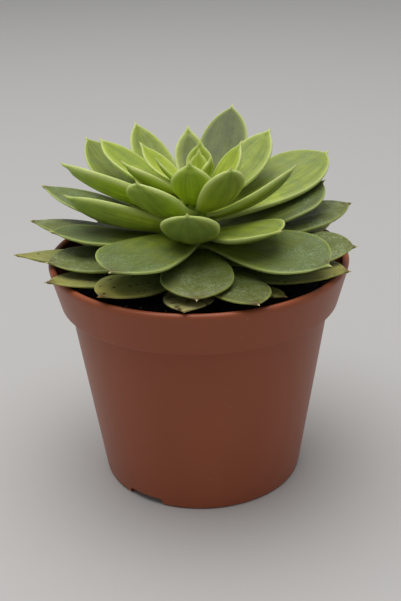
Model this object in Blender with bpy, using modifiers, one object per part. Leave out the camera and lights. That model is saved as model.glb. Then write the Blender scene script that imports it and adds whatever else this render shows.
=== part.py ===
"""Rosette succulent in a round nursery pot: pot, soil, stem and every leaf as its own solid.

Units are millimetres in the constants and metres in Blender. +Z is up, the origin is on the
pot's axis at its flat underside, and -Y is the side that the plant is seen from.
"""

from math import atan2, cos, pi, radians, sin

import bmesh
import bpy
import numpy as np

MM = 0.001
GAP = 0.3  # clearance between neighbouring solids
MERGE = 0.00002  # metres, for the turned parts

# Pot, a 10.5 cm injection-moulded pot with a deep rim band
RIM_RADIUS = 52.5
POT_HEIGHT = 82.5
BAND_HEIGHT = 15.3
BAND_FOOT_RADIUS = 48.9
BODY_TOP_RADIUS = 45.9
BASE_RADIUS = 36.4
BASE_ROUND = 1.2
WALL = 1.4
FLOOR = 1.5
LIP_WIDTH = 2.6
LIP_DEPTH = 2.2
FLOOR_CORNER = 1.5  # chamfer between the floor and the wall inside
POT_STEPS = 48

# Drain notches in the foot of the wall
NOTCH_AZIMUTHS = (235, 355, 115)
NOTCH_WIDTH = 14.0
NOTCH_HEIGHT = 2.6
NOTCH_INNER_RADIUS = 31.5
NOTCH_OVERCUT = 6.0  # how far the cutting block stands out past the foot
NOTCH_BELOW = 2.0  # how far the cutting block reaches below the foot

# Soil and stem
SOIL_TOP = 73.4
SOIL_CROWN = 0.5  # how much the soil rises towards the stem
SOIL_CROWN_SPAN = 14.0  # distance from the stem over which half of that rise is lost
SOIL_STEPS = 40
STEM_FOOT = 56.0
STEM_FOOT_TAPER = (1.5, 2.0)  # how much narrower the foot is, and over what height
STEM_RADIUS = 5.2
STEM_TIP_RADIUS = 1.6
STEM_TAPER_FROM = 84.0
STEM_TOP = 110.0
STEM_TAPER_POWER = 1.6
STEM_STEPS = 20

# Leaf: how narrow the root is, and how much rounder than an ellipse the margins are (below 1)
ROOT_SHARE = 0.40
SECTION_POWER = 0.75
THICK_FROM = 0.45  # share of the length from which a leaf has its full thickness
ROOT_THICKNESS = 0.62  # thickness at the root and at the tip, as shares of the full one
TIP_THICKNESS = 0.2
LEAF_SEGMENTS = 10
LEAF_RINGS = 9

# One row a leaf, in mm and degrees: azimuth from +X, reach from the axis, tip height,
# root height, width, thickness, bow (sag of the midline as a share of its length, down is
# positive), roll about the midline, and where along its length the blade is widest.
LEAVES = {
    "base_leaf": [
        (212, 58, 85.4, 75.3, 16, 2.6, 0, 0, 0.66),
        (264.8, 53, 84.2, 75.4, 16.4, 2.6, 0, 0, 0.66),
        (306, 46.6, 81.5, 75.2, 9.5, 2.4, 0.02, 0, 0.66),
        (330.5, 56, 85.5, 78.1, 22.8, 3.2, 0.02, -3, 0.62),
        (357, 53, 84, 75.1, 12, 2.4, 0, 0, 0.62),
        (188.3, 63, 86.6, 80.15, 13.9, 3.4, 0.02, 0, 0.6),
        (22.7, 54, 86, 79.4, 15.9, 2.6, 0.02, 0, 0.64),
        (52, 56, 85, 76, 19, 3, 0.02, 0, 0.64),
        (87, 55, 84.8, 78, 18.5, 2.9, 0.02, 0, 0.64),
        (121, 56, 85, 75.6, 18.5, 3, 0.02, 0, 0.64),
        (157.5, 55, 85.1, 77, 14.5, 2.7, 0.02, 0, 0.64),
    ],
    "outer_leaf": [
        (234.8, 54, 85.9, 78.5, 20, 3.9, -0.01, 2, 0.68),
        (288.5, 56, 86, 79.5, 18.8, 3.2, -0.02, 0, 0.68),
        (204, 54.5, 88.8, 82.3, 22.2, 3.3, 0, 3, 0.68),
        (269, 51, 87, 85, 23.5, 4, -0.06, 0, 0.68),
        (342.5, 55, 89.8, 81.6, 24.5, 3, 0, -9, 0.66),
        (171, 60, 92.3, 84.95, 19.4, 3, 0.02, -4, 0.62),
        (12.5, 56, 95.3, 86.3, 22.5, 3.4, 0.03, -3, 0.66),
        (46, 53.5, 93, 82.2, 18.6, 3, 0.02, 0, 0.64),
        (73.8, 57, 90.2, 80.25, 21.5, 3, 0.02, 0, 0.64),
        (104.5, 57, 92.5, 83.7, 21.8, 3.2, 0.02, 0, 0.64),
        (137, 58, 91.5, 80.8, 20.6, 3.2, 0.02, 0, 0.64),
    ],
    "middle_leaf": [
        (317, 56, 92, 89, 25, 3.7, -0.03, -12, 0.68),
        (240, 54, 95, 90.4, 26, 4, -0.02, 4, 0.7),
        (195, 51, 96.4, 87.8, 21.1, 3.2, 0.04, -2, 0.66),
        (159.3, 60, 101.5, 89, 18.4, 2.3, 0.03, 0, 0.6),
        (18, 47.5, 103, 88.6, 26, 3.3, 0.05, -7, 0.72),
        (85.5, 56, 103.2, 87.3, 12, 3, 0.03, 0, 0.62),
        (58, 56, 98.8, 84.8, 15.5, 3, 0.03, 0, 0.62),
        (122, 58, 107, 87.7, 10, 2.7, 0.05, 0, 0.62),
    ],
    "upper_leaf": [
        (309, 41, 101.5, 91.3, 20, 3.7, 0.02, -6, 0.68),
        (265, 37, 109.6, 95, 19, 4.8, 0.26, 0, 0.73),
        (195.5, 45, 108.3, 93.5, 18.9, 4.4, 0.12, -31, 0.62),
        (138, 55, 114.8, 90.6, 21.5, 2.7, 0.1, 0, 0.62),
        (28, 54, 110.6, 95.9, 25, 4.6, 0.06, -11, 0.66),
        (72.5, 46, 124, 98.2, 18, 3.4, 0.14, 0, 0.64),
    ],
    "inner_leaf": [
        (171.5, 47, 114, 100.5, 19.6, 4.6, 0.12, -31, 0.6),
        (227, 28.3, 115.4, 99, 19.9, 4.4, 0.22, -8, 0.66),
        (340.5, 34, 116.5, 97.2, 16, 3.3, 0.14, 9, 0.62),
        (145, 42, 117.5, 102, 13.9, 2.8, 0.1, 0, 0.64),
        (41, 35, 120, 100.4, 15, 3.8, 0.12, -14, 0.62),
        (120, 45, 119.5, 96.6, 14.5, 3.2, 0.14, 0, 0.64),
    ],
    "heart_leaf": [
        (293, 27.3, 120.5, 100.35, 14.8, 3.7, 0.2, 0, 0.7),
        (181, 25, 116, 104.8, 14, 3.4, 0.12, -20, 0.58),
        (96, 28, 120.5, 102.9, 11.7, 2.9, 0.16, 0, 0.58),
        (25, 17, 120, 103.5, 12, 3, 0.16, 0, 0.58),
        (147.5, 23, 119, 106.5, 10.4, 2.1, 0.16, 0, 0.56),
        (261.5, 15.5, 120, 101.95, 14, 3.2, 0.2, 0, 0.58),
        (82, 9.5, 120, 106.2, 9.3, 2.2, 0.16, 0, 0.56),
        (198, 14, 118, 107, 8.6, 1.4, 0.16, 0, 0.56),
    ],
    "bud_leaf": [
        (320, 6.2, 118, 107.5, 7, 1.6, 0.05, 0, 0.56),
        (80, 5.2, 118, 108.5, 6, 1.4, 0.05, 0, 0.56),
    ],
}

# Leaf sections by tier: (share of the thickness above the margins, cupping as a share of the half-width)
SECTIONS = {
    "base_leaf": (0.48, 0.03),
    "outer_leaf": (0.48, 0.03),
    "middle_leaf": (0.38, 0.06),
    "upper_leaf": (0.30, 0.10),
    "inner_leaf": (0.30, 0.10),
    "heart_leaf": (0.30, 0.10),
    "bud_leaf": (0.30, 0.10),
}

# sRGB colours, roughness
POT_COLOUR = (158, 92, 72)
POT_ROUGHNESS = 0.42
SOIL_COLOUR = (38, 29, 24)
SOIL_ROUGHNESS = 0.95
STEM_COLOUR = (132, 142, 84)
STEM_ROUGHNESS = 0.7
LEAF_COLOURS = {
    "base_leaf": (96, 110, 66),
    "outer_leaf": (98, 118, 68),
    "middle_leaf": (106, 130, 66),
    "upper_leaf": (122, 150, 62),
    "inner_leaf": (134, 162, 66),
    "heart_leaf": (148, 176, 72),
    "bud_leaf": (166, 190, 92),
}
LEAF_ROUGHNESS = 0.5


def clear_scene():
    for obj in list(bpy.data.objects):
        bpy.data.objects.remove(obj, do_unlink=True)


def new_collection(name):
    collection = bpy.data.collections.new(name)
    bpy.context.scene.collection.children.link(collection)
    return collection


def linear(channel):
    """One sRGB channel, 0 to 255, as a linear value."""
    value = channel / 255
    if value <= 0.04045:
        return value / 12.92
    return ((value + 0.055) / 1.055) ** 2.4


def new_material(name, colour, roughness):
    material = bpy.data.materials.new(name)
    material.use_nodes = True
    shader = material.node_tree.nodes["Principled BSDF"]
    shader.inputs["Base Color"].default_value = (*[linear(c) for c in colour], 1.0)
    shader.inputs["Roughness"].default_value = roughness
    shader.inputs["Metallic"].default_value = 0.0
    return material


def add_object(name, mesh, collection, material=None):
    obj = bpy.data.objects.new(name, mesh)
    collection.objects.link(obj)
    if material:
        mesh.materials.append(material)
    return obj


def turned(name, profile, steps, collection, material):
    """A solid of revolution from (radius, height) points in mm: out from the axis, up, over
    and down the outer side, and back to the axis."""
    mesh = bpy.data.meshes.new(name)
    points = [(radius * MM, 0.0, height * MM) for radius, height in profile]
    edges = [(i, i + 1) for i in range(len(points) - 1)]
    mesh.from_pydata(points, edges, [])
    obj = add_object(name, mesh, collection, material)
    screw = obj.modifiers.new("turn", "SCREW")
    screw.axis = "Z"
    screw.steps = steps
    screw.render_steps = steps
    screw.use_merge_vertices = True
    screw.merge_threshold = MERGE
    screw.use_smooth_shade = True
    return obj


def arc(centre, radius, start, end, count):
    """Points of an arc in the profile plane, angles in degrees, both ends included."""
    angles = [start + (end - start) * i / (count - 1) for i in range(count)]
    return [
        (centre[0] + radius * cos(radians(a)), centre[1] + radius * sin(radians(a)))
        for a in angles
    ]


def outer_band_radius(height):
    """Outer radius of the rim band, which widens evenly to the lip."""
    share = (height - (POT_HEIGHT - BAND_HEIGHT)) / BAND_HEIGHT
    return BAND_FOOT_RADIUS + (RIM_RADIUS - BAND_FOOT_RADIUS) * share


def outer_body_radius(height):
    """Outer radius of the tapered body below the band."""
    share = height / (POT_HEIGHT - BAND_HEIGHT)
    return BASE_RADIUS + (BODY_TOP_RADIUS - BASE_RADIUS) * share


def inner_profile(clearance, top):
    """The pot's inside from the floor's edge up to a height, moved inwards by a clearance."""
    shelf = POT_HEIGHT - BAND_HEIGHT + WALL + clearance
    floor = FLOOR + clearance
    inset = WALL + clearance
    return [
        (outer_body_radius(floor) - inset - FLOOR_CORNER, floor),
        (outer_body_radius(floor + FLOOR_CORNER) - inset, floor + FLOOR_CORNER),
        (outer_body_radius(shelf) - inset, shelf),
        (outer_band_radius(shelf) - inset, shelf),
        (outer_band_radius(top) - inset, top),
    ]


def make_pot(collection, cutters):
    """Stepped, tapered shell with a flat floor, a thick round lip and three drain notches."""
    band_foot = POT_HEIGHT - BAND_HEIGHT
    lip_inner = RIM_RADIUS - LIP_WIDTH
    lip_round = LIP_WIDTH / 2
    profile = [(0.0, FLOOR)]
    profile += inner_profile(0.0, POT_HEIGHT - LIP_DEPTH - 1.0)
    profile += [(lip_inner, POT_HEIGHT - LIP_DEPTH)]
    profile += arc((lip_inner + lip_round, POT_HEIGHT - lip_round), lip_round, 180, 0, 7)
    profile += [
        (BAND_FOOT_RADIUS + 0.1, band_foot + 0.5),
        (BAND_FOOT_RADIUS - 0.5, band_foot),
        (BODY_TOP_RADIUS + 0.5, band_foot - 0.4),
        (BODY_TOP_RADIUS, band_foot - 1.2),
    ]
    profile += arc(
        (outer_body_radius(BASE_ROUND) - BASE_ROUND, BASE_ROUND), BASE_ROUND, 0, -90, 5
    )
    profile += [(0.0, 0.0)]
    material = new_material("pot_plastic", POT_COLOUR, POT_ROUGHNESS)
    pot = turned("pot", profile, POT_STEPS, collection, material)
    for number, azimuth in enumerate(NOTCH_AZIMUTHS, 1):
        notch = pot.modifiers.new(f"drain_notch_{number}", "BOOLEAN")
        notch.operation = "DIFFERENCE"
        notch.solver = "EXACT"
        notch.object = make_notch_cutter(number, azimuth, cutters)
    return pot


def make_notch_cutter(number, azimuth, cutters):
    """A block across the foot of the wall, standing out past both of its sides."""
    length = BASE_RADIUS + NOTCH_OVERCUT - NOTCH_INNER_RADIUS
    middle = NOTCH_INNER_RADIUS + length / 2
    mesh = bpy.data.meshes.new(f"notch_cutter_{number}")
    shape = bmesh.new()
    bmesh.ops.create_cube(shape, size=1.0)
    size = (length * MM, NOTCH_WIDTH * MM, (NOTCH_HEIGHT + NOTCH_BELOW) * MM)
    bmesh.ops.scale(shape, vec=size, verts=shape.verts)
    shape.to_mesh(mesh)
    shape.free()
    cutter = add_object(f"notch_cutter_{number}", mesh, cutters)
    turn = radians(azimuth)
    height = (NOTCH_HEIGHT - NOTCH_BELOW) / 2
    cutter.location = (middle * MM * cos(turn), middle * MM * sin(turn), height * MM)
    cutter.rotation_euler = (0.0, 0.0, turn)
    cutter.hide_render = True
    cutter.display_type = "WIRE"
    return cutter


def stem_radius(height):
    """Stem radius at a height: even low down, then tapering faster and faster to the tip."""
    share = np.clip((height - STEM_TAPER_FROM) / (STEM_TOP - STEM_TAPER_FROM), 0.0, 1.0)
    return STEM_RADIUS - (STEM_RADIUS - STEM_TIP_RADIUS) * share**STEM_TAPER_POWER


def make_soil(collection):
    """Plug of soil that fills the pot to just below the rim, with a blind hole for the stem."""
    hole = STEM_RADIUS + GAP
    profile = [
        (0.0, STEM_FOOT - GAP),
        (hole, STEM_FOOT - GAP),
        (hole, SOIL_TOP + SOIL_CROWN),
        (hole + SOIL_CROWN_SPAN, SOIL_TOP + SOIL_CROWN / 2),
    ]
    profile += reversed(inner_profile(GAP, SOIL_TOP))
    profile += [(0.0, FLOOR + GAP)]
    material = new_material("soil_peat", SOIL_COLOUR, SOIL_ROUGHNESS)
    return turned("soil", profile, SOIL_STEPS, collection, material)


def make_stem(collection):
    """Short stem from the soil up through the rosette, tapering to a round tip."""
    heights = np.linspace(STEM_TAPER_FROM, STEM_TOP - STEM_TIP_RADIUS, 7)
    profile = [(0.0, STEM_TOP)]
    profile += [(STEM_TIP_RADIUS * 0.75, STEM_TOP - STEM_TIP_RADIUS * 0.35)]
    profile += [(float(stem_radius(z)), float(z)) for z in reversed(heights)]
    profile += [
        (STEM_RADIUS, STEM_FOOT + STEM_FOOT_TAPER[1]),
        (STEM_RADIUS - STEM_FOOT_TAPER[0], STEM_FOOT),
        (0.0, STEM_FOOT),
    ]
    material = new_material("stem_rind", STEM_COLOUR, STEM_ROUGHNESS)
    return turned("stem", profile, STEM_STEPS, collection, material)


def blade_outline(share, widest):
    """Half-width of a blade, 0 to 1, along its length: a sine swell from a narrow root to the
    widest point, then a power curve to the tip, blunter the further out it is widest."""
    bluntness = 0.95 - 2.2 * (widest - 0.55)
    swell = ROOT_SHARE + (1 - ROOT_SHARE) * np.sin(np.clip(share / widest, 0, 1) * pi / 2) ** 1.25
    past = np.clip((share - widest) / (1 - widest), 0, 1)
    return np.where(share < widest, swell, (1 - past**2.2) ** bluntness)


def blade_thickness(share, outline):
    """Thickness of a blade, 0 to 1: thinner at the root, full before the middle of its length,
    then thinning to the tip, where it follows the outline to nothing."""
    swell = np.sin(np.clip(share / THICK_FROM, 0, 1) * pi / 2)
    past = np.clip((share - THICK_FROM) / (1 - THICK_FROM), 0, 1)
    thickness = ROOT_THICKNESS + (1 - ROOT_THICKNESS) * swell
    return thickness * (1 - (1 - TIP_THICKNESS) * past**2.4) * np.minimum(1.0, 2.0 * outline)


def leaf_points(row, section, share, angle):
    """Points of a leaf's skin, in mm, from the share of its length and the angle round it.

    The midline is a quadratic curve in the upright plane at the leaf's azimuth. Across it
    the section is a flattened oval, blunter at the margins than an ellipse, cupped upwards."""
    azimuth, reach, tip, root, width, thickness, bow, roll, widest = row
    upper_share, cup = section
    start = np.array([stem_radius(root) + GAP, root])
    end = np.array([reach, tip])
    chord = end - start
    control = (start + end) / 2 + bow * np.array([chord[1], -chord[0]])
    t = share[:, None]
    middle = (1 - t) ** 2 * start + 2 * t * (1 - t) * control + t**2 * end
    run = 2 * (1 - t) * (control - start) + 2 * t * (end - control)
    run /= np.linalg.norm(run, axis=1, keepdims=True)

    outline = blade_outline(share, widest)
    half = width / 2 * outline
    depth = thickness * blade_thickness(share, outline)
    across = half * np.cos(angle)
    lift = np.sin(angle)
    flesh = np.sign(lift) * np.abs(lift) ** SECTION_POWER
    up = np.where(lift > 0, upper_share, 1 - upper_share) * depth * flesh
    up += cup * half * np.cos(angle) ** 2 * np.sin(np.clip(share / 0.5, 0, 1) * pi / 2)
    inside = (share > 1e-6) & (share < 1 - 1e-6)
    across = np.where(inside, across, 0.0)
    up = np.where(inside, up, 0.0)

    turn = radians(roll)
    across, up = across * cos(turn) - up * sin(turn), across * sin(turn) + up * cos(turn)
    radius = middle[:, 0] - up * run[:, 1]
    height = middle[:, 1] + up * run[:, 0]
    way = radians(azimuth)
    x = radius * cos(way) + across * sin(way)
    y = radius * sin(way) - across * cos(way)
    return np.stack([x, y, height], axis=1)


def make_leaf(name, row, section, colour, collection):
    """A leaf: a sphere whose poles become the root and the tip, warped to the blade."""
    shape = bmesh.new()
    bmesh.ops.create_uvsphere(
        shape, u_segments=LEAF_SEGMENTS, v_segments=LEAF_RINGS, radius=1.0
    )
    share = np.array([(1 + vert.co.z) / 2 for vert in shape.verts])
    angle = np.array([atan2(vert.co.y, vert.co.x) for vert in shape.verts])
    for vert, point in zip(shape.verts, leaf_points(row, section, share, angle) * MM):
        vert.co = point
    bmesh.ops.triangulate(shape, faces=shape.faces)
    bmesh.ops.recalc_face_normals(shape, faces=shape.faces)
    mesh = bpy.data.meshes.new(name)
    shape.to_mesh(mesh)
    shape.free()
    mesh.shade_smooth()
    material = new_material(f"{name}_skin", colour, LEAF_ROUGHNESS)
    return add_object(name, mesh, collection, material)


def main():
    clear_scene()
    parts = new_collection("potted_succulent")
    cutters = new_collection("cutters")
    make_pot(parts, cutters)
    make_soil(parts)
    make_stem(parts)
    for tier, rows in LEAVES.items():
        for number, row in enumerate(rows, 1):
            make_leaf(f"{tier}_{number:02d}", row, SECTIONS[tier], LEAF_COLOURS[tier], parts)


main()
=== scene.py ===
"""Looks of the potted succulent: waxy leaves with bristle tips, a moulded plastic pot and
damp compost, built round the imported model. Lengths are millimetres, turned to metres by MM."""

from math import cos, pi, radians, sin

import bmesh
import bpy
import numpy as np
from mathutils import Matrix, Vector


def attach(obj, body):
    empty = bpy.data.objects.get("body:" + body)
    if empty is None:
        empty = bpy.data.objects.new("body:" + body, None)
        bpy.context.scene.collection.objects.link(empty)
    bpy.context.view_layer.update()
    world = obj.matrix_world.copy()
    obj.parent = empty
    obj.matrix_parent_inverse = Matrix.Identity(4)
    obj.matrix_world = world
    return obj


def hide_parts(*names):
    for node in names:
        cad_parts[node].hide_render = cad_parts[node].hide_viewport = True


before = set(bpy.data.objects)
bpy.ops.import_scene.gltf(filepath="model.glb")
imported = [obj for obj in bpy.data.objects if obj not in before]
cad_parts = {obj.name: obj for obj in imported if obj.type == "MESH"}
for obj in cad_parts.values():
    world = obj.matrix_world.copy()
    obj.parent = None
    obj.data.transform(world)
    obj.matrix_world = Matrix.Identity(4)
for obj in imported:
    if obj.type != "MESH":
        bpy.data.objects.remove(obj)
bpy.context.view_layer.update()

MM = 0.001
BODY = "root"
GAP = 0.3

# Pot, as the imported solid
RIM_RADIUS = 52.5
POT_HEIGHT = 82.5
BAND_HEIGHT = 15.3
BAND_FOOT_RADIUS = 48.9
BODY_TOP_RADIUS = 45.9
BASE_RADIUS = 36.4
WALL = 1.4
FLOOR = 1.5
LIP_WIDTH = 2.6
LIP_HEIGHT = 2.6
LIP_SLOPE = 0.6  # rise of the lip's underside inside the pot
LIP_ROUND = 0.95  # rounding of the lip, as a share of half its width
LIP_DRAFT = 0.35
LIP_DRAFT_HEIGHT = 2.4
BAND_STEP = 0.5  # fall of the step under the band
BASE_ROUND = 1.2
SHARP_ANGLE = 38
POT_SEGMENTS = 288
NOTCH_AZIMUTHS = (235, 355, 115)
NOTCH_WIDTH = 14.0
NOTCH_HEIGHT = 2.6
NOTCH_INNER_RADIUS = 31.5
NOTCH_OVERCUT = 6.0
NOTCH_BELOW = 2.0
NOTCH_ROUND = 0.5

# Soil and stem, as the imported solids
SOIL_TOP = 73.4
SOIL_RINGS = 70
SOIL_SEGMENTS = 240
SOIL_CROWN = 0.5
SOIL_CROWN_SPAN = 14
SHRINK_DEPTH = 0.9
SHRINK_FROM = 45.5
SHRINK_SPAN = 3
LUMP_SIZE = 9.0
LUMP_HEIGHT = 0.45
LUMP_SEED = 4
SOIL_FOOT_HEIGHT = 3.0
SOIL_FOOT_TAPER = 1.5
CRUMBS_FROM = 14.0  # crumbs lie between these two radii
CRUMBS_TO = 47.0
STEM_FOOT = 56.0
STEM_RADIUS = 5.2
STEM_TIP_RADIUS = 1.6
STEM_TAPER_FROM = 84.0
STEM_TOP = 110.0
STEM_TAPER_POWER = 1.6
STEM_FOOT_ROUND = 2.0
STEM_RINGS = 110
STEM_SEGMENTS = 72
SCAR_DEPTH = 0.035  # as a share of the stem's radius

# Leaf section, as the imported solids, and the finer detail of its skin
ROOT_SHARE = 0.40
# by tier: share of a blade's thickness above its margins, and cupping as a share of half-width
SECTIONS = {
    "base_leaf": (0.48, 0.03),
    "outer_leaf": (0.48, 0.03),
    "middle_leaf": (0.38, 0.06),
    "upper_leaf": (0.30, 0.10),
    "inner_leaf": (0.30, 0.10),
    "heart_leaf": (0.30, 0.10),
    "bud_leaf": (0.30, 0.10),
}
SECTION_POWER = 0.75  # below 1 the margins are rounder than an ellipse
THICK_FROM = 0.45  # share of its length where a blade is full
ROOT_THICKNESS = 0.62
TIP_THICKNESS = 0.2
LEAF_ROWS = 54
LEAF_COLUMNS = 48
BRISTLE_ROWS = 7
BRISTLE_RADIUS = 0.22
BRISTLE_LENGTH = 0.8
SHORT_BRISTLE = 0.6
NARROW_LEAF = 12  # leaves up to this width have the short bristle
CUSP_LENGTH = 1.1  # the point that the blade's end draws out into
CUSP_SLOPE = 0.7
CUSP_SPAN = 3
MARGIN_WAVE = 0.16  # waves of the margin and the face, on a leaf WAVED_WIDTH wide
FACE_WAVE = 0.10
WAVED_WIDTH = 20
GROOVE_DEPTH = 0.25  # groove above and keel below, on a leaf KEELED_THICKNESS thick
GROOVE_WIDTH = 0.16  # as a share of the half-width
KEEL_DEPTH = 0.22
KEEL_WIDTH = 0.22
KEELED_THICKNESS = 3.5

# One row a leaf, in mm and degrees: azimuth from +X, reach from the axis, tip height,
# root height, width, thickness, bow (sag of the midline as a share of its length, down is
# positive), roll about the midline, and where along its length the blade is widest.
LEAVES = {
    "base_leaf": [
        (212, 58, 85.4, 75.3, 16, 2.6, 0, 0, 0.66),
        (264.8, 53, 84.2, 75.4, 16.4, 2.6, 0, 0, 0.66),
        (306, 46.6, 81.5, 75.2, 9.5, 2.4, 0.02, 0, 0.66),
        (330.5, 56, 85.5, 78.1, 22.8, 3.2, 0.02, -3, 0.62),
        (357, 53, 84, 75.1, 12, 2.4, 0, 0, 0.62),
        (188.3, 63, 86.6, 80.15, 13.9, 3.4, 0.02, 0, 0.6),
        (22.7, 54, 86, 79.4, 15.9, 2.6, 0.02, 0, 0.64),
        (52, 56, 85, 76, 19, 3, 0.02, 0, 0.64),
        (87, 55, 84.8, 78, 18.5, 2.9, 0.02, 0, 0.64),
        (121, 56, 85, 75.6, 18.5, 3, 0.02, 0, 0.64),
        (157.5, 55, 85.1, 77, 14.5, 2.7, 0.02, 0, 0.64),
    ],
    "outer_leaf": [
        (234.8, 54, 85.9, 78.5, 20, 3.9, -0.01, 2, 0.68),
        (288.5, 56, 86, 79.5, 18.8, 3.2, -0.02, 0, 0.68),
        (204, 54.5, 88.8, 82.3, 22.2, 3.3, 0, 3, 0.68),
        (269, 51, 87, 85, 23.5, 4, -0.06, 0, 0.68),
        (342.5, 55, 89.8, 81.6, 24.5, 3, 0, -9, 0.66),
        (171, 60, 92.3, 84.95, 19.4, 3, 0.02, -4, 0.62),
        (12.5, 56, 95.3, 86.3, 22.5, 3.4, 0.03, -3, 0.66),
        (46, 53.5, 93, 82.2, 18.6, 3, 0.02, 0, 0.64),
        (73.8, 57, 90.2, 80.25, 21.5, 3, 0.02, 0, 0.64),
        (104.5, 57, 92.5, 83.7, 21.8, 3.2, 0.02, 0, 0.64),
        (137, 58, 91.5, 80.8, 20.6, 3.2, 0.02, 0, 0.64),
    ],
    "middle_leaf": [
        (317, 56, 92, 89, 25, 3.7, -0.03, -12, 0.68),
        (240, 54, 95, 90.4, 26, 4, -0.02, 4, 0.7),
        (195, 51, 96.4, 87.8, 21.1, 3.2, 0.04, -2, 0.66),
        (159.3, 60, 101.5, 89, 18.4, 2.3, 0.03, 0, 0.6),
        (18, 47.5, 103, 88.6, 26, 3.3, 0.05, -7, 0.72),
        (85.5, 56, 103.2, 87.3, 12, 3, 0.03, 0, 0.62),
        (58, 56, 98.8, 84.8, 15.5, 3, 0.03, 0, 0.62),
        (122, 58, 107, 87.7, 10, 2.7, 0.05, 0, 0.62),
    ],
    "upper_leaf": [
        (309, 41, 101.5, 91.3, 20, 3.7, 0.02, -6, 0.68),
        (265, 37, 109.6, 95, 19, 4.8, 0.26, 0, 0.73),
        (195.5, 45, 108.3, 93.5, 18.9, 4.4, 0.12, -31, 0.62),
        (138, 55, 114.8, 90.6, 21.5, 2.7, 0.1, 0, 0.62),
        (28, 54, 110.6, 95.9, 25, 4.6, 0.06, -11, 0.66),
        (72.5, 46, 124, 98.2, 18, 3.4, 0.14, 0, 0.64),
    ],
    "inner_leaf": [
        (171.5, 47, 114, 100.5, 19.6, 4.6, 0.12, -31, 0.6),
        (227, 28.3, 115.4, 99, 19.9, 4.4, 0.22, -8, 0.66),
        (340.5, 34, 116.5, 97.2, 16, 3.3, 0.14, 9, 0.62),
        (145, 42, 117.5, 102, 13.9, 2.8, 0.1, 0, 0.64),
        (41, 35, 120, 100.4, 15, 3.8, 0.12, -14, 0.62),
        (120, 45, 119.5, 96.6, 14.5, 3.2, 0.14, 0, 0.64),
    ],
    "heart_leaf": [
        (293, 27.3, 120.5, 100.35, 14.8, 3.7, 0.2, 0, 0.7),
        (181, 25, 116, 104.8, 14, 3.4, 0.12, -20, 0.58),
        (96, 28, 120.5, 102.9, 11.7, 2.9, 0.16, 0, 0.58),
        (25, 17, 120, 103.5, 12, 3, 0.16, 0, 0.58),
        (147.5, 23, 119, 106.5, 10.4, 2.1, 0.16, 0, 0.56),
        (261.5, 15.5, 120, 101.95, 14, 3.2, 0.2, 0, 0.58),
        (82, 9.5, 120, 106.2, 9.3, 2.2, 0.16, 0, 0.56),
        (198, 14, 118, 107, 8.6, 1.4, 0.16, 0, 0.56),
    ],
    "bud_leaf": [
        (320, 6.2, 118, 107.5, 7, 1.6, 0.05, 0, 0.56),
        (80, 5.2, 118, 108.5, 6, 1.4, 0.05, 0, 0.56),
    ],
}

# Age of each tier's leaves, 0 for the growing point and 1 for the oldest
AGES = {
    "base_leaf": 0.95,
    "outer_leaf": 0.78,
    "middle_leaf": 0.60,
    "upper_leaf": 0.42,
    "inner_leaf": 0.26,
    "heart_leaf": 0.12,
    "bud_leaf": 0.0,
}
# two old leaves at the front have begun to wither
WITHERED = {"base_leaf_02": 1.3, "outer_leaf_01": 1.06}
# Lightness of single leaves against their tier: below 1 is deeper, above 1 lighter. It
# follows one plant in one light, so part of it is light and shade and not pigment.
LIGHT_TONE = 1.1  # the lightest that the inner side of a leaf gets
TONES = {
    "base_leaf_01": 0.95,
    "base_leaf_04": 0.85,
    "heart_leaf_03": 0.4,
    "heart_leaf_06": 1.3,
    "inner_leaf_01": 1.75,
    "inner_leaf_02": 1.4,
    "inner_leaf_05": 0.85,
    "inner_leaf_06": 0.75,
    "middle_leaf_01": 0.85,
    "middle_leaf_02": 0.85,
    "middle_leaf_03": 0.75,
    "middle_leaf_05": 0.7,
    "outer_leaf_01": 1.3,
    "outer_leaf_02": 0.55,
    "outer_leaf_03": 0.85,
    "outer_leaf_04": 0.7,
    "outer_leaf_05": 0.9,
    "outer_leaf_07": 0.86,
    "upper_leaf_02": 1.2,
    "upper_leaf_03": 1.9,
    "upper_leaf_04": 0.85,
    "upper_leaf_06": 0.42,
}
# A finish name for each tier's leaves
SLOTS = {
    "base_leaf": "leaf_old",
    "outer_leaf": "leaf_outer",
    "middle_leaf": "leaf_outer",
    "upper_leaf": "leaf_inner",
    "inner_leaf": "leaf_inner",
    "heart_leaf": "leaf_heart",
    "bud_leaf": "leaf_heart",
}

# Camera, lamp and floor, in metres and degrees
CAMERA_ELEVATION = 24.2
CAMERA_TURN = -1.31
CAMERA_DISTANCE = 0.3504
CAMERA_AIM = (0.00027, -0.00690, 0.06714)
SENSOR_WIDTH = 36.0
LENS = 59.9
NEAR_CLIP = 0.01
LAMP_PLACE = (-0.12, 0.05, 1.4)
LAMP_AIM = (0, 0, 0.08)
LAMP_SIZE = 1.5
LAMP_WATTS = 17.5
SURROUND_STRENGTH = 0.36
FLOOR_HALF = 4.0


# ---------------------------------------------------------------- meshes

def faces_of_grid(rows, columns, first_pole, last_pole):
    """Faces of a grid of points that closes round its columns. A pole is a fan to one point
    that comes after the grid's own points."""
    row, column = np.meshgrid(np.arange(rows - 1), np.arange(columns), indexing="ij")
    here = row * columns + column
    beside = row * columns + (column + 1) % columns
    quads = np.stack([here, beside, beside + columns, here + columns], axis=-1)
    faces = quads.reshape(-1, 4).tolist()
    around = np.arange(columns)
    following = (around + 1) % columns
    if first_pole is not None:
        pole = np.full(columns, first_pole)
        faces += np.stack([pole, following, around], axis=-1).tolist()
    if last_pole is not None:
        base = (rows - 1) * columns
        pole = np.full(columns, last_pole)
        faces += np.stack([pole, base + around, base + following], axis=-1).tolist()
    return faces


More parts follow.
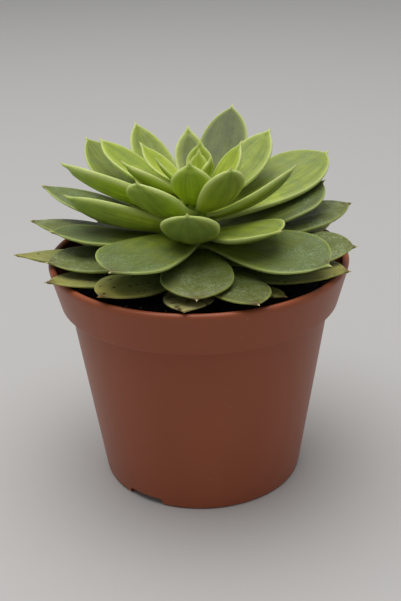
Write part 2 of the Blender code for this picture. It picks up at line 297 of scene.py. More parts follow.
def closed_piece(name, rings, first, last, material, attributes=None):
    """A closed piece from rings of points, in mm, with a pole before the first ring and one
    after the last. Attributes are arrays of (rings + 2 poles) vectors, laid out the same."""
    rows, columns = rings.shape[:2]
    count = rows * columns
    points = np.vstack([rings.reshape(-1, 3), first, last]) * MM
    faces = faces_of_grid(rows, columns, count, count + 1)
    mesh = bpy.data.meshes.new(name)
    mesh.from_pydata(points.tolist(), [], faces)
    for key, values in (attributes or {}).items():
        layer = mesh.attributes.new(key, "FLOAT_VECTOR", "POINT")
        layer.data.foreach_set("vector", values.astype(np.float32).ravel())
    turn_outwards(mesh)
    mesh.shade_smooth()
    mesh.materials.append(material)
    piece = bpy.data.objects.new(name, mesh)
    bpy.context.scene.collection.objects.link(piece)
    return piece


def turn_outwards(mesh):
    """Flips a closed mesh whose faces point inwards, told by the sign of its volume."""
    shape = bmesh.new()
    shape.from_mesh(mesh)
    if shape.calc_volume(signed=True) < 0:
        bmesh.ops.reverse_faces(shape, faces=shape.faces)
        shape.to_mesh(mesh)
    shape.free()


def lathe(profile, segments):
    """Rings of points from (radius, height) pairs: each pair turned round the Z axis."""
    turn = 2 * pi * np.arange(segments) / segments
    radius, height = np.array(profile).T
    x = radius[:, None] * np.cos(turn)
    y = radius[:, None] * np.sin(turn)
    z = np.repeat(height[:, None], segments, axis=1)
    return np.stack([x, y, z], axis=-1)


ARC_STEP = 11  # degrees between the points of a fillet


def filleted(corners, pitch=2.0, margin=0.35):
    """Profile through (radius, height, fillet) corners: each fillet is an arc that touches
    both of its straight sides, and long straight sides get points at an even pitch."""
    corners = np.array(corners, float)
    line = [corners[0, :2]]
    for before, (radius, height, fillet), after in zip(corners, corners[1:], corners[2:]):
        here = np.array([radius, height])
        back = before[:2] - here
        on = after[:2] - here
        back /= np.linalg.norm(back)
        on /= np.linalg.norm(on)
        half = np.arccos(np.clip(back @ on, -1, 1)) / 2
        if fillet <= 0:
            line.append(here)
            continue
        reach = fillet / np.tan(half)
        centre = here + (back + on) / np.linalg.norm(back + on) * fillet / np.sin(half)
        start, end = here + back * reach - centre, here + on * reach - centre
        sweep = pi - 2 * half
        count = max(3, int(sweep / radians(ARC_STEP)) + 2)
        for share in np.linspace(0, 1, count):
            mix = start * np.sin((1 - share) * sweep) + end * np.sin(share * sweep)
            line.append(centre + mix / np.sin(sweep))
    line.append(corners[-1, :2])
    fine = [line[0]]
    for a, b in zip(line, line[1:]):
        length = np.linalg.norm(b - a)
        if length > 3 * margin:
            inner = np.arange(margin + pitch, length - margin - pitch / 2, pitch)
            for step in [margin, *inner, length - margin]:
                fine.append(a + (b - a) * step / length)
        fine.append(b)
    return np.array(fine)


WAVES = 6  # sine waves in each octave
NOISE_GAIN = 1.6


def wave_noise(points, size, seed, octaves=3):
    """Smooth noise from -1 to 1 at points in mm: sums of sine waves in random directions,
    each octave half the size and half the height of the one before."""
    random = np.random.default_rng(seed)
    total = np.zeros(points.shape[:-1])
    for octave in range(octaves):
        waves = random.normal(size=(WAVES, 3))
        waves /= np.linalg.norm(waves, axis=1, keepdims=True)
        phases = random.uniform(0, 2 * pi, WAVES)
        angle = points @ waves.T * (2 * pi / size * 2**octave) + phases
        total += np.sin(angle).sum(axis=-1) / WAVES / 2**octave * NOISE_GAIN
    return np.clip(total, -1.5, 1.5)


# ---------------------------------------------------------------- materials

def colour(code):
    """A hex sRGB colour as linear red, green, blue and alpha."""
    channels = np.array([int(code[i:i + 2], 16) for i in (0, 2, 4)]) / 255
    low, high = channels / 12.92, ((channels + 0.055) / 1.055) ** 2.4
    return (*np.where(channels <= 0.04045, low, high).tolist(), 1.0)


def add_node(tree, kind, settings=None, **sockets):
    """Adds a node, sets its properties, and fills its sockets. A socket is named, with _ for
    a space, or numbered as in_6, and takes a value or another node's output."""
    made = tree.nodes.new(kind)
    for key, value in (settings or {}).items():
        setattr(made, key, value)
    for key, value in sockets.items():
        target = made.inputs[int(key[3:]) if key.startswith("in_") else key.replace("_", " ")]
        if isinstance(value, bpy.types.NodeSocket):
            tree.links.new(value, target)
        else:
            target.default_value = value
    return made


def new_material(name):
    """A material with its Principled shader: returns the material, its tree and the shader."""
    material = bpy.data.materials.new(name)
    material.use_nodes = True
    return material, material.node_tree, material.node_tree.nodes["Principled BSDF"]


MIX = {"data_type": "RGBA"}
FLESH = ((0.15, "a5b73c"), (0.3, "9cae40"), (0.45, "8f9d43"), (0.6, "717e3e"), (0.8, "606d35"))


def waxy_leaf_skin():
    """Living succulent leaf: translucent green flesh under a waxy cuticle. Old leaves are
    grey-green and young ones yellow-green, with paler margins that carry painted light shining
    through them and a painted highlight on their rounded edge, a brighter root that is partly
    painted light, faint veins, cloudy patches and a fine dusty bloom. Single leaves are lighter
    or deeper, partly painted light and shade. Grown leaves have scorched tips, and the oldest
    have yellow tips and brown specks."""
    material, tree, shader = new_material("waxy_leaf_skin")
    place = add_node(tree, "ShaderNodeTexCoord").outputs["Object"]
    blade = add_node(tree, "ShaderNodeAttribute", {"attribute_name": "blade"})
    blade = add_node(tree, "ShaderNodeSeparateXYZ", Vector=blade.outputs["Vector"])
    from_margin, along, top = blade.outputs
    growth_and_shade = add_node(tree, "ShaderNodeAttribute", {"attribute_name": "growth_and_shade"})
    growth_and_shade = add_node(tree, "ShaderNodeSeparateXYZ", Vector=growth_and_shade.outputs["Vector"])
    age, tone, bristle = growth_and_shade.outputs

    grain = add_node(tree, "ShaderNodeTexNoise", Vector=place, Scale=1 / (0.6 * MM), Detail=2.0)
    mottle = add_node(tree, "ShaderNodeTexNoise", Vector=place, Scale=1 / (5 * MM), Detail=3.0)
    specks = add_node(tree, "ShaderNodeTexVoronoi", Vector=place, Scale=1 / (3.2 * MM))

    # ripe face colour by age
    flesh = add_node(tree, "ShaderNodeValToRGB", Fac=age)
    ramp = flesh.color_ramp
    ramp.elements[0].position = 0.0
    ramp.elements[0].color = colour("b0c046")
    ramp.elements[1].position = 1.0
    ramp.elements[1].color = colour("76824c")
    for position, code in FLESH:
        ramp.elements.new(position).color = colour(code)

    # near the root leaves are brighter and yellower, less so on old leaves: partly young tissue,
    # partly painted light glowing through and between the crowded leaf bases
    root = add_node(tree, "ShaderNodeMapRange", Value=along, From_Min=0.15, From_Max=0.7,
                    To_Min=1.0, To_Max=0.0)
    young = add_node(tree, "ShaderNodeMapRange", Value=age, From_Min=0.5, From_Max=1.0,
                     To_Min=0.85, To_Max=0.35)
    root = add_node(tree, "ShaderNodeMath", {"operation": "MULTIPLY"},
                    in_0=root.outputs["Result"], in_1=young.outputs["Result"])
    paler = add_node(tree, "ShaderNodeMix", MIX, Factor=root.outputs[0],
                     in_6=flesh.outputs["Color"], in_7=colour("b6c638"))
    # faint veins run the length of the blade
    lane = add_node(tree, "ShaderNodeAttribute", {"attribute_name": "lane"})
    lane = add_node(tree, "ShaderNodeMapping", Vector=lane.outputs["Vector"],
                    Scale=(0.8, 0.06, 9.0))
    veins = add_node(tree, "ShaderNodeTexNoise", Vector=lane.outputs["Vector"], Scale=1.0,
                     Detail=3.0)
    vein = add_node(tree, "ShaderNodeMapRange", Value=veins.outputs["Fac"], From_Min=0.35,
                    From_Max=0.65, To_Min=0.80, To_Max=1.12)
    veined = add_node(tree, "ShaderNodeVectorMath", {"operation": "SCALE"},
                      Vector=paler.outputs[2], Scale=vein.outputs["Result"])
    # cloudy patches
    cloud = add_node(tree, "ShaderNodeMapRange", Value=mottle.outputs["Fac"], From_Min=0.38,
                     From_Max=0.62)
    clouded = add_node(tree, "ShaderNodeMapRange", Value=age, From_Min=0.1, From_Max=0.7,
                       To_Min=0.15, To_Max=0.55)
    cloud = add_node(tree, "ShaderNodeMath", {"operation": "MULTIPLY"},
                     in_0=cloud.outputs["Result"], in_1=clouded.outputs["Result"])
    cloudy = add_node(tree, "ShaderNodeMix", MIX, Factor=cloud.outputs[0],
                      in_6=veined.outputs[0], in_7=colour("56702a"))
    # undersides are deeper green towards the tip
    under = add_node(tree, "ShaderNodeMapRange", Value=top, From_Min=-0.3, From_Max=0.2,
                     To_Min=0.5, To_Max=0.0)
    beyond = add_node(tree, "ShaderNodeMapRange", Value=along, From_Min=0.25, From_Max=0.85)
    under = add_node(tree, "ShaderNodeMath", {"operation": "MULTIPLY"},
                     in_0=under.outputs["Result"], in_1=beyond.outputs["Result"])
    deeper = add_node(tree, "ShaderNodeMix", MIX, Factor=under.outputs[0],
                      in_6=cloudy.outputs[2], in_7=colour("4c6a1c"))
    # some leaves are deeper or lighter than the rest, partly pigment and partly painted light
    # and shade
    pigment_and_shade_toned = add_node(tree, "ShaderNodeVectorMath", {"operation": "SCALE"},
                     Vector=deeper.outputs[2], Scale=tone)
    # dusty bloom: patches of pale grains, most on the upper side of grown leaves, towards
    # the tip, and fewer on the deepest leaves, whose depth of tone is partly painted shade
    grains = add_node(tree, "ShaderNodeMapRange", Value=grain.outputs["Fac"], From_Min=0.44,
                      From_Max=0.62, To_Min=0.05, To_Max=0.75)
    patch = add_node(tree, "ShaderNodeMapRange", Value=mottle.outputs["Fac"], From_Min=0.40,
                     From_Max=0.58, To_Min=0.15, To_Max=1.0)
    powdered = add_node(tree, "ShaderNodeMapRange", Value=tone, From_Min=0.4, From_Max=1.0,
                        To_Min=0.3, To_Max=1.0)
    grown = add_node(tree, "ShaderNodeMapRange", Value=age, From_Min=0.25, From_Max=0.8,
                     To_Min=0.08, To_Max=1.0)
    upper = add_node(tree, "ShaderNodeMapRange", Value=top, From_Min=-0.3, From_Max=0.3,
                     To_Min=0.4, To_Max=1.0)
    outward = add_node(tree, "ShaderNodeMapRange", Value=along, From_Min=0.2, From_Max=0.75,
                       To_Min=0.15, To_Max=1.0)
    dusty = grains.outputs["Result"]
    for share in (grown, upper, outward, patch, powdered):
        dusty = add_node(tree, "ShaderNodeMath", {"operation": "MULTIPLY"},
                         in_0=dusty, in_1=share.outputs["Result"]).outputs[0]
    bloomed = add_node(tree, "ShaderNodeMix", MIX, Factor=dusty,
                       in_6=pigment_and_shade_toned.outputs[0], in_7=colour("a3ad8c"))
    # margins: a thin pale line, partly a paler rim and partly a painted highlight on the rounded
    # edge, and inside it a paler band with painted light shining through it, wide on young leaves
    band_width = add_node(tree, "ShaderNodeMapRange", Value=age, From_Min=0.0, From_Max=0.8,
                          To_Min=3.4, To_Max=0.9)
    clear = add_node(tree, "ShaderNodeMapRange", Value=age, From_Min=0.2, From_Max=0.7,
                     To_Min=0.66, To_Max=0.22)
    band = add_node(tree, "ShaderNodeMapRange", Value=from_margin,
                    From_Max=band_width.outputs["Result"],
                    To_Min=clear.outputs["Result"], To_Max=0.0)
    pale_lit_banded = add_node(tree, "ShaderNodeMix", MIX, Factor=band.outputs["Result"],
                      in_6=bloomed.outputs[2], in_7=colour("c2d055"))
    # the pale line: partly the rim's own paler colour, partly a painted highlight on its edge
    crisp = add_node(tree, "ShaderNodeMapRange", Value=age, From_Min=0.3, From_Max=0.8,
                     To_Min=0.8, To_Max=0.14)
    line_width = add_node(tree, "ShaderNodeMapRange", Value=age, From_Min=0.2, From_Max=0.7,
                          To_Min=1.2, To_Max=0.45)
    line = add_node(tree, "ShaderNodeMapRange", Value=from_margin, From_Min=0.05,
                    From_Max=line_width.outputs["Result"],
                    To_Min=crisp.outputs["Result"], To_Max=0.0)
    rim_paled_and_highlighted = add_node(tree, "ShaderNodeMix", MIX, Factor=line.outputs["Result"],
                        in_6=pale_lit_banded.outputs[2], in_7=colour("d2db95"))
    # the oldest leaves yellow towards the tip
    old = add_node(tree, "ShaderNodeMapRange", Value=age, From_Min=0.72, From_Max=1.0,
                   To_Min=0.0, To_Max=1.0)
    dry_tip = add_node(tree, "ShaderNodeMapRange", Value=along, From_Min=0.5, From_Max=1.0,
                       To_Min=0.0, To_Max=0.95)
    dry_tip = add_node(tree, "ShaderNodeMath", {"operation": "MULTIPLY"},
                       in_0=dry_tip.outputs["Result"], in_1=old.outputs["Result"])
    yellowed = add_node(tree, "ShaderNodeMix", MIX, Factor=dry_tip.outputs[0],
                        in_6=rim_paled_and_highlighted.outputs[2], in_7=colour("a39a4a"))
    # withering leaves fade to a dull buff
    withered = add_node(tree, "ShaderNodeMapRange", Value=age, From_Min=1.05, From_Max=1.3,
                        To_Min=0.0, To_Max=0.5)
    faded = add_node(tree, "ShaderNodeMix", MIX, Factor=withered.outputs["Result"],
                     in_6=yellowed.outputs[2], in_7=colour("b3ad80"))
    # brown specks on the oldest leaves, larger and closer together on withering ones
    speck_size = add_node(tree, "ShaderNodeMapRange", Value=age, From_Min=1.0, From_Max=1.3,
                          To_Min=0.20, To_Max=0.42)
    speck = add_node(tree, "ShaderNodeMapRange", Value=specks.outputs["Distance"],
                     From_Min=0.13, From_Max=speck_size.outputs["Result"],
                     To_Min=0.95, To_Max=0.0)
    speck = add_node(tree, "ShaderNodeMath", {"operation": "MULTIPLY"},
                     in_0=speck.outputs["Result"], in_1=old.outputs["Result"])
    spread = add_node(tree, "ShaderNodeMapRange", Value=age, From_Min=1.0, From_Max=1.1,
                      To_Min=0.53, To_Max=0.36)
    rare = add_node(tree, "ShaderNodeMath", {"operation": "GREATER_THAN"},
                    in_0=mottle.outputs["Fac"], in_1=spread.outputs["Result"])
    speck = add_node(tree, "ShaderNodeMath", {"operation": "MULTIPLY"},
                     in_0=speck.outputs[0], in_1=rare.outputs[0])
    specked = add_node(tree, "ShaderNodeMix", MIX, Factor=speck.outputs[0],
                       in_6=faded.outputs[2], in_7=colour("3c2716"))
    # the very tips of grown leaves are scorched brown, some more than others
    scorch = add_node(tree, "ShaderNodeMapRange", Value=along, From_Min=0.93, From_Max=0.985)
    ripe = add_node(tree, "ShaderNodeMapRange", Value=age, From_Min=0.45, From_Max=0.62,
                    To_Min=0.0, To_Max=0.8)
    blotch = add_node(tree, "ShaderNodeMapRange", Value=mottle.outputs["Fac"], From_Min=0.42,
                      From_Max=0.54)
    scorched = scorch.outputs["Result"]
    for share in (ripe, blotch):
        scorched = add_node(tree, "ShaderNodeMath", {"operation": "MULTIPLY"},
                            in_0=scorched, in_1=share.outputs["Result"]).outputs[0]
    tipped = add_node(tree, "ShaderNodeMix", MIX, Factor=scorched,
                      in_6=specked.outputs[2], in_7=colour("5d4426"))
    # the bristle at the tip is dry and straw-coloured, brown on old leaves
    straw = add_node(tree, "ShaderNodeMix", MIX, Factor=old.outputs["Result"],
                     in_6=colour("d9cf9c"), in_7=colour("8a6238"))
    bristled = add_node(tree, "ShaderNodeMix", MIX, Factor=bristle,
                        in_6=tipped.outputs[2], in_7=straw.outputs[2])
    tree.links.new(bristled.outputs[2], shader.inputs["Base Color"])

    rough = add_node(tree, "ShaderNodeMapRange", Value=grain.outputs["Fac"], From_Min=0.3,
                     From_Max=0.7, To_Min=0.36, To_Max=0.52)
    tree.links.new(rough.outputs["Result"], shader.inputs["Roughness"])
    relief = add_node(tree, "ShaderNodeBump", Strength=0.35, Distance=0.06 * MM,
                      Height=grain.outputs["Fac"])
    swell = add_node(tree, "ShaderNodeBump", Strength=0.8, Distance=0.6 * MM,
                     Height=mottle.outputs["Fac"], Normal=relief.outputs["Normal"])
    tree.links.new(swell.outputs["Normal"], shader.inputs["Normal"])
    shader.inputs["IOR"].default_value = 1.42
    shader.inputs["Specular IOR Level"].default_value = 0.45
    shader.inputs["Subsurface Weight"].default_value = 0.5
    shader.inputs["Subsurface Radius"].default_value = (0.75, 1.0, 0.2)
    shader.inputs["Subsurface Scale"].default_value = 1.8 * MM
    return material


def moulded_polypropylene():
    """Terracotta-coloured polypropylene, injection moulded: a satin skin with a waxy sheen,
    faint cloudy dust, fine grit and a few scuffs."""
    material, tree, shader = new_material("moulded_polypropylene")
    place = add_node(tree, "ShaderNodeTexCoord").outputs["Object"]
    streaked = add_node(tree, "ShaderNodeMapping", Vector=place, Scale=(1.0, 1.0, 0.25))
    cloud = add_node(tree, "ShaderNodeTexNoise", Vector=streaked.outputs["Vector"],
                     Scale=1 / (22 * MM), Detail=4.0)
    skin = add_node(tree, "ShaderNodeTexNoise", Vector=place, Scale=1 / (0.8 * MM), Detail=2.0)
    dust = add_node(tree, "ShaderNodeTexVoronoi", Vector=place, Scale=1 / (6 * MM))
    tone = add_node(tree, "ShaderNodeMix", MIX, Factor=cloud.outputs["Fac"],
                    in_6=colour("8f482b"), in_7=colour("9c5334"))
    dot = add_node(tree, "ShaderNodeMapRange", Value=dust.outputs["Distance"], From_Min=0.025,
                   From_Max=0.05, To_Min=0.5, To_Max=0.0)
    dotted = add_node(tree, "ShaderNodeMix", MIX, Factor=dot.outputs["Result"],
                      in_6=tone.outputs[2], in_7=colour("b08a78"))
    tree.links.new(dotted.outputs[2], shader.inputs["Base Color"])
    rough = add_node(tree, "ShaderNodeMapRange", Value=cloud.outputs["Fac"], From_Min=0.3,
                     From_Max=0.7, To_Min=0.34, To_Max=0.42)
    tree.links.new(rough.outputs["Result"], shader.inputs["Roughness"])
    relief = add_node(tree, "ShaderNodeBump", Strength=0.25, Distance=0.03 * MM,
                      Height=skin.outputs["Fac"])
    tree.links.new(relief.outputs["Normal"], shader.inputs["Normal"])
    shader.inputs["IOR"].default_value = 1.49
    shader.inputs["Specular IOR Level"].default_value = 0.34
    shader.inputs["Subsurface Weight"].default_value = 0.05
    shader.inputs["Subsurface Radius"].default_value = (1.0, 0.4, 0.25)
    shader.inputs["Subsurface Scale"].default_value = 1.0 * MM
    return material


def damp_compost(name, dark, light, grain_size):
    """Peat compost: almost black where damp, with brown fibre and dry crumbs."""
    material, tree, shader = new_material(name)
    place = add_node(tree, "ShaderNodeTexCoord").outputs["Object"]
    crumb = add_node(tree, "ShaderNodeTexNoise", Vector=place, Scale=1 / (grain_size * MM),
                     Detail=6.0, Roughness=0.7)
    mixed = add_node(tree, "ShaderNodeMapRange", Value=crumb.outputs["Fac"], From_Min=0.4,
                     From_Max=0.7)
    tone = add_node(tree, "ShaderNodeMix", MIX, Factor=mixed.outputs["Result"],
                    in_6=colour(dark), in_7=colour(light))
    tree.links.new(tone.outputs[2], shader.inputs["Base Color"])
    relief = add_node(tree, "ShaderNodeBump", Strength=0.8, Distance=0.4 * MM,
                      Height=crumb.outputs["Fac"])
    tree.links.new(relief.outputs["Normal"], shader.inputs["Normal"])
    shader.inputs["Roughness"].default_value = 0.9
    return material


def stem_rind():
    """Fleshy stem: corky grey-brown rind low down, smooth yellow-green among the leaves."""
    material, tree, shader = new_material("stem_rind")
    place = add_node(tree, "ShaderNodeTexCoord").outputs["Object"]
    cork = add_node(tree, "ShaderNodeTexNoise", Vector=place, Scale=1 / (2 * MM), Detail=4.0)
    rind = add_node(tree, "ShaderNodeMix", MIX, Factor=cork.outputs["Fac"],
                    in_6=colour("6d6a45"), in_7=colour("8f8a66"))
    height = add_node(tree, "ShaderNodeSeparateXYZ", Vector=place)
    young = add_node(tree, "ShaderNodeMapRange", Value=height.outputs["Z"], From_Min=76 * MM,
                     From_Max=84 * MM)
    tone = add_node(tree, "ShaderNodeMix", MIX, Factor=young.outputs["Result"],
                    in_6=rind.outputs[2], in_7=colour("93ad35"))
    tree.links.new(tone.outputs[2], shader.inputs["Base Color"])
    relief = add_node(tree, "ShaderNodeBump", Strength=0.4, Distance=0.2 * MM,
                      Height=cork.outputs["Fac"])
    tree.links.new(relief.outputs["Normal"], shader.inputs["Normal"])
    shader.inputs["Roughness"].default_value = 0.6
    shader.inputs["Subsurface Weight"].default_value = 0.3
    shader.inputs["Subsurface Radius"].default_value = (0.75, 1.0, 0.2)
    shader.inputs["Subsurface Scale"].default_value = 2.6 * MM
    return material


# ---------------------------------------------------------------- pot

def outer_band_radius(height):
    """Outer radius of the rim band, on a straight line from its foot to the rim."""
    share = (height - (POT_HEIGHT - BAND_HEIGHT)) / BAND_HEIGHT
    return BAND_FOOT_RADIUS + (RIM_RADIUS - BAND_FOOT_RADIUS) * share


def outer_body_radius(height):
    """Outer radius of the pot's body, on a straight line from the base to the band."""
    share = height / (POT_HEIGHT - BAND_HEIGHT)
    return BASE_RADIUS + (BODY_TOP_RADIUS - BASE_RADIUS) * share


def make_pot(material):
    """The pot turned from one profile, with the drain notches cut from its foot. A corner is
    its radius, its height and its fillet."""
    band_foot = POT_HEIGHT - BAND_HEIGHT
    shelf = band_foot + WALL
    lip_round = LIP_WIDTH / 2 * LIP_ROUND
    lip_foot = POT_HEIGHT - LIP_HEIGHT
    profile = filleted([
        (0.0, FLOOR, 0),
        (outer_body_radius(FLOOR) - WALL, FLOOR, 2.0),
        (outer_body_radius(shelf) - WALL, shelf, 0.6),
        (outer_band_radius(shelf) - WALL, shelf, 0.8),
        (outer_band_radius(lip_foot) - WALL, lip_foot, 0.5),
        (RIM_RADIUS - LIP_WIDTH, lip_foot + LIP_SLOPE, 0.4),
        (RIM_RADIUS - LIP_WIDTH, POT_HEIGHT, lip_round),
        (RIM_RADIUS, POT_HEIGHT, lip_round),
        (RIM_RADIUS - LIP_DRAFT, POT_HEIGHT - LIP_DRAFT_HEIGHT, 0.8),
        (BAND_FOOT_RADIUS, band_foot, 0.7),
        (BODY_TOP_RADIUS, band_foot - BAND_STEP, 0.5),
        (BASE_RADIUS, 0.0, BASE_ROUND),
        (0.0, 0.0, 0),
    ])
    rings = lathe(profile[1:-1], POT_SEGMENTS)
    pot = closed_piece("pot_shell", rings, [0, 0, FLOOR], [0, 0, 0], material)
    cut_notches(pot)
    pot.data.shade_smooth()
    pot.data.set_sharp_from_angle(angle=radians(SHARP_ANGLE))
    return pot


def cut_notches(pot):
    """Cuts the three drain notches, each a block across the foot of the wall."""
    shape = bmesh.new()
    length = BASE_RADIUS + NOTCH_OVERCUT - NOTCH_INNER_RADIUS
    centre = Vector((NOTCH_INNER_RADIUS + length / 2, 0, (NOTCH_HEIGHT - NOTCH_BELOW) / 2))
    size = Vector((length, NOTCH_WIDTH, NOTCH_HEIGHT + NOTCH_BELOW)) * MM
    for azimuth in NOTCH_AZIMUTHS:
        made = bmesh.ops.create_cube(shape, size=1.0)["verts"]
        bmesh.ops.scale(shape, vec=size, verts=made)
        bmesh.ops.translate(shape, vec=centre * MM, verts=made)
        bmesh.ops.rotate(shape, matrix=Matrix.Rotation(radians(azimuth), 3, "Z"), verts=made)
    edges = shape.edges[:]
    bmesh.ops.bevel(shape, geom=edges, offset=NOTCH_ROUND * MM, segments=3, affect="EDGES")
    mesh = bpy.data.meshes.new("notch_cutter")
    shape.to_mesh(mesh)
    shape.free()
    cutter = bpy.data.objects.new("notch_cutter", mesh)
    bpy.context.scene.collection.objects.link(cutter)
    cut = pot.modifiers.new("notches", "BOOLEAN")
    cut.operation = "DIFFERENCE"
    cut.object = cutter
    evaluated = pot.evaluated_get(bpy.context.evaluated_depsgraph_get())
    carved = bpy.data.meshes.new_from_object(evaluated)
    pot.modifiers.clear()
    pot.data = carved
    bpy.data.objects.remove(cutter)


# ---------------------------------------------------------------- soil and stem

def soil_height(radius, azimuth):
    """Height of the soil's surface: level, lumpy, a little higher round the stem and lower
    where it has shrunk from the wall."""
    points = np.stack([radius * np.cos(azimuth), radius * np.sin(azimuth), 0 * radius], axis=-1)
    lumps = wave_noise(points, LUMP_SIZE, LUMP_SEED, octaves=4)
    mound = SOIL_CROWN * np.exp(-((radius - STEM_RADIUS) / SOIL_CROWN_SPAN) ** 2)
    shrink = SHRINK_DEPTH * np.clip((radius - SHRINK_FROM) / SHRINK_SPAN, 0, 1) ** 2
    return SOIL_TOP + mound - shrink + LUMP_HEIGHT * lumps


def make_soil(material):
    """Plug of soil: a lumpy surface of rings, then the pot's inside, then flat underneath."""
    hole = STEM_RADIUS + GAP
    inset = WALL + GAP
    shelf = POT_HEIGHT - BAND_HEIGHT + WALL
    foot = outer_body_radius(SOIL_FOOT_HEIGHT) - inset
    surface = np.linspace(hole, outer_band_radius(SOIL_TOP) - inset, SOIL_RINGS)
    top = lathe(np.stack([surface, 0 * surface + SOIL_TOP], axis=-1), SOIL_SEGMENTS)
    azimuth = np.arctan2(top[..., 1], top[..., 0])
    top[..., 2] = soil_height(np.hypot(top[..., 0], top[..., 1]), azimuth)
    well = lathe([(hole, STEM_FOOT - GAP)], SOIL_SEGMENTS)
    side = lathe([
        (outer_band_radius(shelf) - inset, shelf + GAP),
        (outer_body_radius(shelf) - inset, shelf + GAP),
        (foot, SOIL_FOOT_HEIGHT),
        (foot - SOIL_FOOT_TAPER, FLOOR + GAP),
    ], SOIL_SEGMENTS)
    rings = np.concatenate([well, top, side])
    first, last = [0, 0, STEM_FOOT - GAP], [0, 0, FLOOR + GAP]
    return closed_piece("soil_plug", rings, first, last, material)


def scatter(name, count, smallest, largest, seed, material):
    """Crumbs lying on the soil: balls of 80 faces with uneven radii, flattened, turned at
    random, and more of them small than large."""
    random = np.random.default_rng(seed)
    shape = bmesh.new()
    bmesh.ops.create_icosphere(shape, subdivisions=2, radius=1.0)
    ball = np.array([vert.co[:] for vert in shape.verts])
    faces = np.array([[vert.index for vert in face.verts] for face in shape.faces])
    shape.free()
    size = smallest + (largest - smallest) * random.random(count) ** 3
    radius = np.sqrt(random.uniform(CRUMBS_FROM**2, CRUMBS_TO**2, count))
    azimuth = random.uniform(0, 2 * pi, count)
    uneven = 1 + 0.28 * random.normal(size=(count, len(ball), 1)).clip(-1.5, 1.5)
    squash = random.uniform(0.55, 1.0, (count, 1, 3)) * size[:, None, None] / 2
    turn = random.uniform(0, 2 * pi, count)
    crumbs = ball * uneven * squash
    x = crumbs[..., 0] * np.cos(turn)[:, None] - crumbs[..., 1] * np.sin(turn)[:, None]
    y = crumbs[..., 0] * np.sin(turn)[:, None] + crumbs[..., 1] * np.cos(turn)[:, None]
    height = soil_height(radius, azimuth) + size * 0.12
    x += (radius * np.cos(azimuth))[:, None]
    y += (radius * np.sin(azimuth))[:, None]
    z = crumbs[..., 2] + height[:, None]
    points = np.stack([x, y, z], axis=-1).reshape(-1, 3) * MM
    every = (faces[None] + len(ball) * np.arange(count)[:, None, None]).reshape(-1, 3)
    mesh = bpy.data.meshes.new(name)
    mesh.from_pydata(points.tolist(), [], every.tolist())
    mesh.shade_smooth()
    mesh.materials.append(material)
    piece = bpy.data.objects.new(name, mesh)
    bpy.context.scene.collection.objects.link(piece)
    return piece


def stem_radius(height):
    """Stem radius at a height: even low down, then tapering faster and faster to the tip."""
    share = np.clip((height - STEM_TAPER_FROM) / (STEM_TOP - STEM_TAPER_FROM), 0.0, 1.0)
    return STEM_RADIUS - (STEM_RADIUS - STEM_TIP_RADIUS) * share**STEM_TAPER_POWER


def make_stem(material):
    """Stem turned from its taper, with a spiral of shallow leaf scars round it."""
    heights = np.linspace(STEM_FOOT + 0.6, STEM_TOP - 0.4, STEM_RINGS)
    rounding = np.sqrt(np.clip((STEM_TOP - heights) / STEM_TIP_RADIUS, 0, 1))
    foot = np.sqrt(np.clip((heights - STEM_FOOT) / STEM_FOOT_ROUND, 0, 1))
    profile = np.stack([stem_radius(heights) * rounding * foot, heights], axis=-1)
    rings = lathe(profile, STEM_SEGMENTS)
    azimuth = np.arctan2(rings[..., 1], rings[..., 0])
    scars = np.cos(5 * azimuth + rings[..., 2] * 1.1) * np.cos(8 * azimuth - rings[..., 2] * 1.4)
    dent = 1 - SCAR_DEPTH * (1 - np.clip(scars, -0.2, 1))
    rings[..., :2] *= dent[..., None]
    return closed_piece("plant_stem", rings, [0, 0, STEM_FOOT], [0, 0, STEM_TOP], material)


# ---------------------------------------------------------------- leaves

def blade_outline(share, widest):
    """Half-width of a blade, 0 to 1, along its length: a sine swell from a narrow root to the
    widest point, then a power curve to the tip, blunter the further out it is widest."""
    bluntness = 0.95 - 2.2 * (widest - 0.55)
    swell = ROOT_SHARE + (1 - ROOT_SHARE) * np.sin(np.clip(share / widest, 0, 1) * pi / 2) ** 1.25
    past = np.clip((share - widest) / (1 - widest), 0, 1)
    return np.where(share < widest, swell, (1 - past**2.2) ** bluntness)


def blade_thickness(share, outline):
    """Thickness of a blade, 0 to 1: a sine swell from a thinner root to full at THICK_FROM, then
    a power curve down to the tip, and held to twice the outline at its narrow ends."""
    swell = np.sin(np.clip(share / THICK_FROM, 0, 1) * pi / 2)
    swell = ROOT_THICKNESS + (1 - ROOT_THICKNESS) * swell
    past = np.clip((share - THICK_FROM) / (1 - THICK_FROM), 0, 1)
    thinning = 1 - (1 - TIP_THICKNESS) * past**2.4
    return swell * thinning * np.minimum(1.0, 2.0 * outline)


